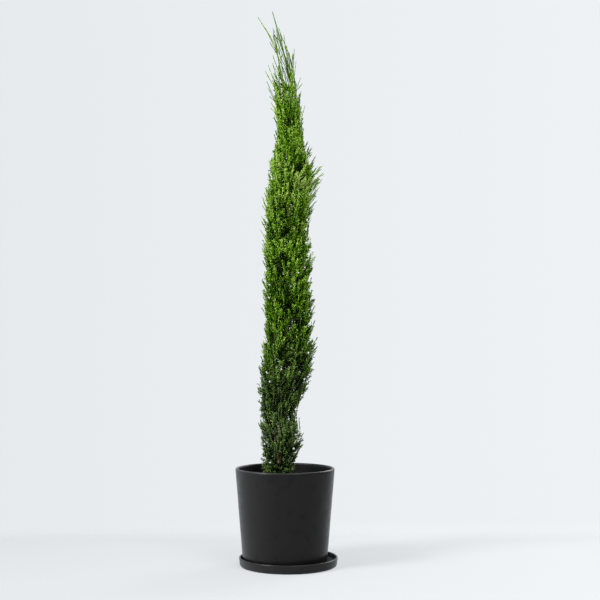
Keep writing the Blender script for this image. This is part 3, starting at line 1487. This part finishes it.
def low_shoots(draw):
    """Short shoots that leave the trunk just above the mix and hide its foot."""
    azimuth = golden_turns(LOW_SHOOTS)
    root = on_trunk(draw.uniform(*LOW_FEET, LOW_SHOOTS))
    h = draw.uniform(*LOW_TIPS, LOW_SHOOTS)
    tip = on_outline(h, azimuth, draw.uniform(*LOW_REACH, LOW_SHOOTS))
    bend = between(root, tip, 0.5) + compass(azimuth) * LOW_BOW
    tone = draw.normal(0.0, TONE_OF_SPRAY, LOW_SHOOTS)
    return Shoots(root, bend, tip, tone, np.zeros(LOW_SHOOTS))


def in_window(places):
    """Whether places lie in the small opening in front of the trunk."""
    h = places[:, 2] - MIX_TOP
    aside = np.abs(places[:, 0] - WINDOW_X)
    return (places[:, 1] < 0) & (aside < WINDOW_HALF) & (h > WINDOW_H[0]) & (h < WINDOW_H[1])


def in_sky_gaps(root, tip):
    """Whether cords cross one of the small gaps through the crown, as the eye sees them."""
    start, end = [EYE + (ends - EYE) * (-EYE[1] / (ends[:, 1:2] - EYE[1])) for ends in (root, tip)]
    start, way = start[:, ::2], (end - start)[:, ::2]
    crossing = np.zeros(len(root), bool)
    for h, x, radius in SKY_GAPS:
        middle = np.array((x, MIX_TOP + h)) - start
        along = (middle * way).sum(axis=1) / np.maximum((way * way).sum(axis=1), TINY)
        nearest = way * np.clip(along, 0.0, 1.0)[:, None]
        crossing |= np.linalg.norm(middle - nearest, axis=1) < radius
    return crossing


def all_shoots(crown, draw):
    """Every shoot of the crown."""
    groups = [group for mass in MASSES for group in spray_shoots(mass, crown)]
    top, fan = top_shoots(draw), fan_shoots(draw)
    groups += [top, forks(top, draw), fan, *(forks(fan, draw) for _ in range(FAN_FORKS))]
    shoots = gathered([*groups, stray_shoots(draw), low_shoots(draw)])
    return shoots.only(~in_window(shoots.tip))


def branchlets(shoots, crown, draw):
    """Roots, tips, sizes, tones and looseness of the branchlets of all shoots."""
    count, each = len(shoots.root), crown.branchlets
    j = np.arange(each)
    loose = np.repeat(shoots.loose[:, None], each, axis=1)
    t = between(BRANCHLET_FROM, BRANCHLET_TO, (j + draw.uniform(0, 1, (count, each))) / each)
    root = shoots.at(t)
    along = unit(shoots.at(np.minimum(t + SHOOT_STEP, 1.0)) - shoots.at(t - SHOOT_STEP))
    across, out = frames(along[:, 0], draw)
    turn = draw.uniform(0, 2 * np.pi, (count, 1)) + j * BRANCHLET_TURN
    side = towards(across[:, None], out[:, None], turn[..., None])
    lean = crown.angle * between(*LEAN_SHARES, t) * draw.uniform(*ANGLE_SCATTER, t.shape)
    lean *= 1 - LOOSE_ANGLE * loose
    way = unit(towards(along, side, lean[..., None]) + (0.0, 0.0, BRANCHLET_LIFT))
    size = between(LENGTH_AT_FOOT, LENGTH_AT_TIP, t) * draw.uniform(*LENGTH_SCATTER, t.shape)
    size *= 1 - LOOSE_LENGTH * loose
    tone = shoots.tone[:, None] + draw.normal(0.0, TONE_OF_BRANCHLET, t.shape)
    tone += TONE_ALONG * (1 - 2 * loose) * (t - TONE_MIDWAY)
    kept = draw.uniform(0, 1, t.shape) > LOOSE_MISSING * loose
    return [column[kept] for column in (root, root + way * size[..., None], size, tone, loose)]


def side_twigs(root, tip, size, tone, loose, draw):
    """Roots, tips and tones of the side twigs, which stand round each branchlet in a spiral."""
    along = unit(tip - root)
    across, out = frames(along, draw)
    parts = []
    for number, u in enumerate(SIDE_TWIGS):
        side = towards(across, out, number * BRANCHLET_TURN)
        angle = SIDE_ANGLE * draw.uniform(*ANGLE_SCATTER, len(root)) * (1 - LOOSE_ANGLE * loose)
        way = unit(towards(along, side, angle[:, None]) + (0.0, 0.0, BRANCHLET_LIFT / 2))
        far = between(TWIG_AT_FOOT, TWIG_AT_TIP, u) * draw.uniform(*LENGTH_SCATTER, len(root))
        far *= np.minimum(size / LENGTH_AT_FOOT + TWIG_OF_SMALLEST, 1.0)
        start = between(root, tip, u)
        own = tone + draw.normal(0.0, TONE_OF_TWIG, len(root)) + TONE_AT_END * (u - 0.5)
        kept = far > LEAST_TWIG
        parts.append([column[kept] for column in (start, start + way * far[:, None], own)])
    return stacked(parts)


def shoot_ends(shoots):
    """The leafy part of each shoot as branchlets end to end: three on a dense shoot, eight on a whip."""
    parts = []
    for chosen, bare, links in (
        (~shoots.long_ones(), BARE_SHARE, DENSE_LINKS),
        (shoots.long_ones(), BARE_WHIP_SHARE, WHIP_LINKS),
    ):
        some = shoots.only(chosen)
        ends = np.linspace(bare, 1.0, links + 1)
        for low, high in zip(ends, ends[1:]):
            places = some.at(np.tile((max(low - LINK_LAP, 0.0), high), (len(some.root), 1)))
            tone = some.tone + TONE_ALONG * (1 - 2 * some.loose) * (high - TONE_MIDWAY)
            parts.append((places[:, 0], places[:, 1], tone, some.loose * (1 - LINK_TAPER * high)))
    return stacked(parts)


def inner_tufts(draw):
    """Roots, tips and tones of broad branchlets round each spine, which close the crown's inside."""
    cored = [mass for mass in MASSES if mass.tier.cored]
    root = np.concatenate([mass.spine(draw.uniform(0.0, INNER_TO, INNER_TUFTS)) for mass in cored])
    way = unit(draw.normal(size=root.shape) * INNER_SPREAD + (0.0, 0.0, INNER_LIFT))
    tip = root + way * draw.uniform(*INNER_LENGTH, (len(root), 1))
    inside = (share_out(tip) < INNER_REACH) & (tip[:, 2] < MIX_TOP + INNER_TOP_H)
    young = np.clip((tip[inside, 2] - MIX_TOP - INNER_YOUNG_H) / INNER_YOUNG_OVER, 0.0, 1.0)
    tone = INNER_TONE * (1 - young) + draw.normal(0.0, TONE_OF_SPRAY, inside.sum())
    return root[inside], tip[inside], tone


def clasping(draw):
    """Roots, tips and tones of the short branchlets pressed to the trunk's top and the leaders."""
    parts = []
    for route in (TRUNK_ROUTE, SIDE_LEADER_ROUTE):
        low, top = max(CLASP_FROM_H, route[0][0]), route[-1][0]
        h = np.arange(low, top - CLASP_END, CLASP_SPACING)
        root = on_route(route, h)
        along = unit(on_route(route, h + CLASP_STEP) - on_route(route, h - CLASP_STEP))
        side = towards(*frames(along, draw), CLASP_ANGLE)
        way = towards(along, side, CLASP_ANGLE)
        far = draw.uniform(*CLASP_LENGTH, len(h)) * np.clip((top - h) / CLASP_TAPER, CLASP_LEAST, 1.0)
        parts.append((root + side * CLASP_ASIDE, root + way * far[:, None], np.zeros(len(h))))
    return stacked(parts)


def dense_share(h, azimuth):
    """How far out the dense sprays reach, as a share of the outline: less on the right, where the fan is."""
    rows = read_rows(DENSE_ROWS, h)
    level = np.cos(azimuth)
    return 1 - (1 - rows[:, 0]) * np.maximum(level, 0.0) - (1 - rows[:, 1]) * np.maximum(-level, 0.0)


def share_out(places):
    """How far out each place lies, from the crown's centre line (0) to where its dense sprays end (1)."""
    h = places[:, 2] - MIX_TOP
    rows = read_rows(CROWN, h)
    out = places[:, :2] - rows[:, :2]
    dense = dense_share(h, np.arctan2(out[:, 1], out[:, 0]))
    return np.linalg.norm(out, axis=1) / (np.maximum(rows[:, 2], LEAST_RADIUS) * dense)


def tones(places, tone, draw):
    """The kind of colour at each place: deeper low down and inside, younger above and outside."""
    h = places[:, 2] - MIX_TOP
    share = share_out(places)
    outward = np.clip(TONE_OUTWARD * (share - TONE_MIDDLE), *TONE_RANGE)
    outward *= 1 - TONE_LOOSE * read_rows(LOOSE_ROWS, h)[:, 0]
    whole = read_rows(TONE_ROWS, h)[:, 0] + outward + tone
    kind = np.clip(np.round(whole), 0, BRIGHTEST).astype(int)
    dry = (h < DRY_BELOW) & (share < DRY_INSIDE) & (draw.uniform(0, 1, len(h)) < DRY_SHARE)
    low = np.clip((GREY_BELOW[1] - h) / (GREY_BELOW[1] - GREY_BELOW[0]), 0.0, 1.0)
    grey = draw.uniform(0, 1, len(h)) < GREY_SHARE * low
    aged = np.where(kind >= GREYISH_FROM, GREYISH, np.where(kind >= DUSKY_FROM, DUSKY, kind))
    return np.where(dry, DRY, np.where(grey, aged, kind))


def cords(root, tip, width, tone, draw):
    """Cords of one width or one each, coloured by their place, without those in the mix and the gaps."""
    width = np.broadcast_to(width, len(root))
    made = Cords(root, tip, width, tones((root + tip) / 2, tone, draw))
    clear = np.minimum(root[:, 2], tip[:, 2]) > MIX_TOP + LOWEST_LEAF
    return made.only(clear & ~in_window((root + tip) / 2) & ~in_sky_gaps(root, tip))


def grown(crown):
    """The shoots, their branchlets and the side twigs of the whole crown."""
    draw = np.random.default_rng(SEED)
    shoots = all_shoots(crown, draw)
    root, tip, size, tone, loose = branchlets(shoots, crown, draw)
    twig_root, twig_tip, twig_tone = side_twigs(root, tip, size, tone, loose, draw)
    end_root, end_tip, end_tone, end_loose = shoot_ends(shoots)
    end_width = between(crown.branchlet_width, crown.whip_width, end_loose)
    inner_root, inner_tip, inner_tone = inner_tufts(draw)
    clasp_root, clasp_tip, clasp_tone = clasping(draw)
    long_cords = gathered(
        [
            cords(root, tip, crown.branchlet_width * (1 - LOOSE_WIDTH * loose), tone, draw),
            cords(end_root, end_tip, end_width, end_tone, draw),
            cords(inner_root, inner_tip, INNER_WIDTH, inner_tone, draw),
            cords(clasp_root, clasp_tip, CLASP_WIDTH, clasp_tone, draw),
        ]
    )
    return shoots, long_cords, cords(twig_root, twig_tip, crown.side_width, twig_tone, draw), draw


def shoot_tubes(some, share, rings, width, taper):
    """Thin tubes over a share of each shoot from its foot, as wide as given there and slimmer further on."""
    t = np.linspace(0.0, share, rings)
    slender = np.where(some.loose < 1.0, SLENDER_WIDTH, 1.0)[:, None]
    return tubes(some.at(np.tile(t, (len(some.root), 1))), width / 2 * (1 - taper * t) * slender, TWIG_SIDES)


def make_twigs(wood, crown, shoots):
    """The stems of the masses, the bare feet of the dense shoots, and the whips from end to end."""
    s = np.linspace(0.0, 1.0, STEM_POINTS)
    stems = np.array([mass.spine(s) for mass in MASSES])
    stem_radii = np.tile(between(STEM_RADIUS, STEM_TIP_RADIUS, s), (len(MASSES), 1))
    green_masses = np.array([mass.tier.foot_h > GREEN_FROM_H for mass in MASSES])
    shoots = shoots.only(np.minimum(shoots.root, shoots.tip)[:, 2] > MIX_TOP + LOWEST_LEAF)
    green_shoots = shoots.root[:, 2] > MIX_TOP + GREEN_FROM_H
    long_ones = shoots.long_ones()
    low_feet, high_feet = [
        shoot_tubes(shoots.only(chosen & ~long_ones), BARE_SHARE, TWIG_POINTS, crown.twig_width, TWIG_TAPER)
        for chosen in (~green_shoots, green_shoots)
    ]
    whole = shoot_tubes(shoots.only(long_ones), 1.0, WHIP_POINTS, crown.whip_width, WHIP_TAPER)
    for name, chosen, shapes, hues in (
        ("bare_twigs", ~green_masses, [low_feet], (wood.twig, wood.green_twig)),
        ("green_stems", green_masses, [high_feet, whole], (wood.shoot_dark, wood.shoot_light)),
    ):
        shapes = [tubes(stems[chosen], stem_radii[chosen], STEM_SIDES), *shapes]
        nodes = [mass.name for mass, here in zip(MASSES, chosen) if here]
        add_piece(name, joined(shapes), young_twig_bark(f"{name}_bark", *hues), nodes)


def make_sprays(leaves, branchlet_cords, twig_cords, draw):
    """The branchlets with their side twigs: a piece for each kind of colour, or more where it is large."""
    for number, (kind, slot) in enumerate(LEAF_KINDS):
        long_ones = np.flatnonzero(branchlet_cords.kind == number)
        short_ones = np.flatnonzero(twig_cords.kind == number)
        triangles = len(long_ones) * len(SPINDLE_FACES) + len(short_ones) * len(CONE_FACES)
        count = max(1, math.ceil(triangles / MOST_TRIANGLES))
        material = scale_leaves(kind, getattr(leaves, kind))
        parts = zip(np.array_split(long_ones, count), np.array_split(short_ones, count))
        for part, (some_long, some_short) in enumerate(parts):
            name = f"sprays_{kind}" + (f"_{part + 1}" if count > 1 else "")
            branchlet_shape = spindles(branchlet_cords.only(some_long), draw)
            twig_shape = cones(twig_cords.only(some_short), draw)
            add_piece(name, joined([branchlet_shape, twig_shape]), material)


# The stage

# Softboxes: rows of (name, place, height that it is turned to, width)
SOFTBOXES = (
    ("key", (-2.9, -1.9, 2.8), 0.85, 1.2),
    ("fill", (1.2, -2.1, 3.3), 0.80, 1.8),
    ("back", (2.2, 2.4, 2.2), 0.80, 1.6),
)

# How far to the sides and to the front the backdrop changes over, as directions of length one
BACKDROP_TURN = 0.26
FRONT_TURN = 0.6
FLOOR_HALF = 6.0
FLOOR_SQUARES = 24


def add_light(name, place, target, size, power):
    """A square softbox turned towards a point, which the camera doesn't see."""
    lamp = bpy.data.lights.new(name, "AREA")
    lamp.size = size
    lamp.energy = power
    softbox = new_object(name, lamp)
    softbox.location = place
    softbox.rotation_euler = (Vector(target) - Vector(place)).to_track_quat("-Z", "Y").to_euler()
    softbox.visible_camera = False
    return softbox


def make_camera(settings):
    """The camera, as high and as far off as the photograph's."""
    camera = new_object("camera", bpy.data.cameras.new("camera"))
    camera.data.lens = settings.lens
    camera.location = (settings.aside, -settings.distance, settings.height)
    camera.rotation_euler = (math.radians(90) + settings.tilt, 0.0, 0.0)
    bpy.context.scene.camera = camera
    return camera


def make_world(settings):
    """A pale backdrop that is a little brighter on the right."""
    world = bpy.data.worlds.new("backdrop")
    bpy.context.scene.world = world
    world.use_nodes = True
    tree = world.node_tree
    place = add_node(tree, "ShaderNodeTexCoord").outputs["Generated"]
    axes = add_node(tree, "ShaderNodeSeparateXYZ", None, {0: place})
    aside = {"From Min": -BACKDROP_TURN, "From Max": BACKDROP_TURN}
    share = add_node(tree, "ShaderNodeMapRange", aside, {"Value": axes.outputs[0]})
    colours = {"data_type": "RGBA", 6: (*settings.left, 1.0), 7: (*settings.right, 1.0)}
    mixed = add_node(tree, "ShaderNodeMix", colours, {0: share.outputs[0]})
    tree.links.new(mixed.outputs[2], tree.nodes["Background"].inputs[0])
    # Studio flags keep part of the backdrop's light off matte surfaces, but not off reflections
    rays = add_node(tree, "ShaderNodeLightPath")
    flagged = {"To Min": 1.0, "To Max": settings.ambient}
    matte = add_node(tree, "ShaderNodeMapRange", flagged, {"Value": rays.outputs["Is Diffuse Ray"]})
    # The studio is dark in front and on the right, so gloss shows little there and much at the left
    lean = {"operation": "MULTIPLY_ADD", 1: -settings.front_lean}
    across = add_node(tree, "ShaderNodeMath", lean, {0: axes.outputs[0], 2: axes.outputs[1]})
    front = {"From Min": -FRONT_TURN, "From Max": FRONT_TURN}
    lost = {"To Min": settings.front_gloss - 1, "To Max": 0.0}
    dark = add_node(tree, "ShaderNodeMapRange", front | lost, {"Value": across.outputs[0]})
    glossy = {0: rays.outputs["Is Glossy Ray"], 1: dark.outputs[0], 2: matte.outputs[0]}
    strength = add_node(tree, "ShaderNodeMath", {"operation": "MULTIPLY_ADD"}, glossy)
    tree.links.new(strength.outputs[0], tree.nodes["Background"].inputs[1])
    return world


def make_floor(settings):
    """The floor of the studio, a wide sheet of paper."""
    shape = bmesh.new()
    bmesh.ops.create_grid(shape, x_segments=FLOOR_SQUARES, y_segments=FLOOR_SQUARES, size=FLOOR_HALF)
    mesh = bpy.data.meshes.new("studio_floor")
    shape.to_mesh(mesh)
    shape.free()
    mesh.materials.append(seamless_paper(settings))
    floor = new_object("studio_floor", mesh)
    return floor


# Operators


class CYPRESS_OT_stage(bpy.types.Operator):
    """Sets up the floor, the backdrop, the softboxes and the camera"""

    bl_idname = "cypress.stage"
    bl_label = "Stage"

    def execute(self, context):
        settings = context.scene.cypress.stage
        context.scene.view_settings.view_transform = "Standard"
        make_camera(settings)
        make_world(settings)
        make_floor(settings)
        for name, place, target_height, size in SOFTBOXES:
            target = (0.0, 0.0, target_height)
            add_light(f"{name}_softbox", place, target, size, getattr(settings, f"{name}_power"))
        return {"FINISHED"}


class CYPRESS_OT_pot(bpy.types.Operator):
    """Makes the pot"""

    bl_idname = "cypress.pot"
    bl_label = "Pot"

    def execute(self, context):
        make_pot(context.scene.cypress.pot)
        return {"FINISHED"}


class CYPRESS_OT_saucer(bpy.types.Operator):
    """Makes the saucer under the pot"""

    bl_idname = "cypress.saucer"
    bl_label = "Saucer"

    def execute(self, context):
        make_saucer(context.scene.cypress.pot)
        return {"FINISHED"}


class CYPRESS_OT_mix(bpy.types.Operator):
    """Fills the pot with potting mix"""

    bl_idname = "cypress.mix"
    bl_label = "Potting mix"

    def execute(self, context):
        settings = context.scene.cypress
        make_mix(settings.pot, settings.mix)
        return {"FINISHED"}


class CYPRESS_OT_trunk(bpy.types.Operator):
    """Makes the trunk with its bark"""

    bl_idname = "cypress.trunk"
    bl_label = "Trunk"

    def execute(self, context):
        make_trunk(context.scene.cypress.wood)
        return {"FINISHED"}


class CYPRESS_OT_boughs(bpy.types.Operator):
    """Makes the boughs with their bark"""

    bl_idname = "cypress.boughs"
    bl_label = "Boughs"

    def execute(self, context):
        make_boughs(context.scene.cypress.wood)
        return {"FINISHED"}


class CYPRESS_OT_foliage(bpy.types.Operator):
    """Grows the twigs and the sprays of scale leaves"""

    bl_idname = "cypress.foliage"
    bl_label = "Foliage"

    def execute(self, context):
        settings = context.scene.cypress
        shoots, branchlet_cords, twig_cords, draw = grown(settings.crown)
        make_twigs(settings.wood, settings.crown, shoots)
        make_sprays(settings.leaves, branchlet_cords, twig_cords, draw)
        return {"FINISHED"}


GROUPS = (PotSettings, MixSettings, WoodSettings, CrownSettings, LeafSettings, StageSettings, CypressSettings)
OPERATORS = (
    CYPRESS_OT_stage,
    CYPRESS_OT_pot,
    CYPRESS_OT_saucer,
    CYPRESS_OT_mix,
    CYPRESS_OT_trunk,
    CYPRESS_OT_boughs,
    CYPRESS_OT_foliage,
)


class CYPRESS_PT_sidebar(bpy.types.Panel):
    """The plant's tools and settings"""

    bl_idname = "CYPRESS_PT_sidebar"
    bl_label = "Potted cypress"
    bl_space_type = "VIEW_3D"
    bl_region_type = "UI"
    bl_category = "Cypress"

    def draw(self, context):
        column = self.layout.column(align=True)
        for operator in OPERATORS:
            column.operator(operator.bl_idname)
        settings = context.scene.cypress
        for part in CypressSettings.__annotations__:
            group = getattr(settings, part)
            box = self.layout.box()
            for name in group.__annotations__:
                box.prop(group, name)


def register():
    for made in (*GROUPS, *OPERATORS, CYPRESS_PT_sidebar):
        bpy.utils.register_class(made)
    bpy.types.Scene.cypress = PointerProperty(type=CypressSettings)


def unregister():
    del bpy.types.Scene.cypress
    for made in reversed((*GROUPS, *OPERATORS, CYPRESS_PT_sidebar)):
        bpy.utils.unregister_class(made)


def main():
    register()
    bpy.ops.cypress.stage()
    bpy.ops.cypress.pot()
    bpy.ops.cypress.saucer()
    bpy.ops.cypress.mix()
    bpy.ops.cypress.trunk()
    bpy.ops.cypress.boughs()
    bpy.ops.cypress.foliage()


if __name__ == "__main__":
    main()
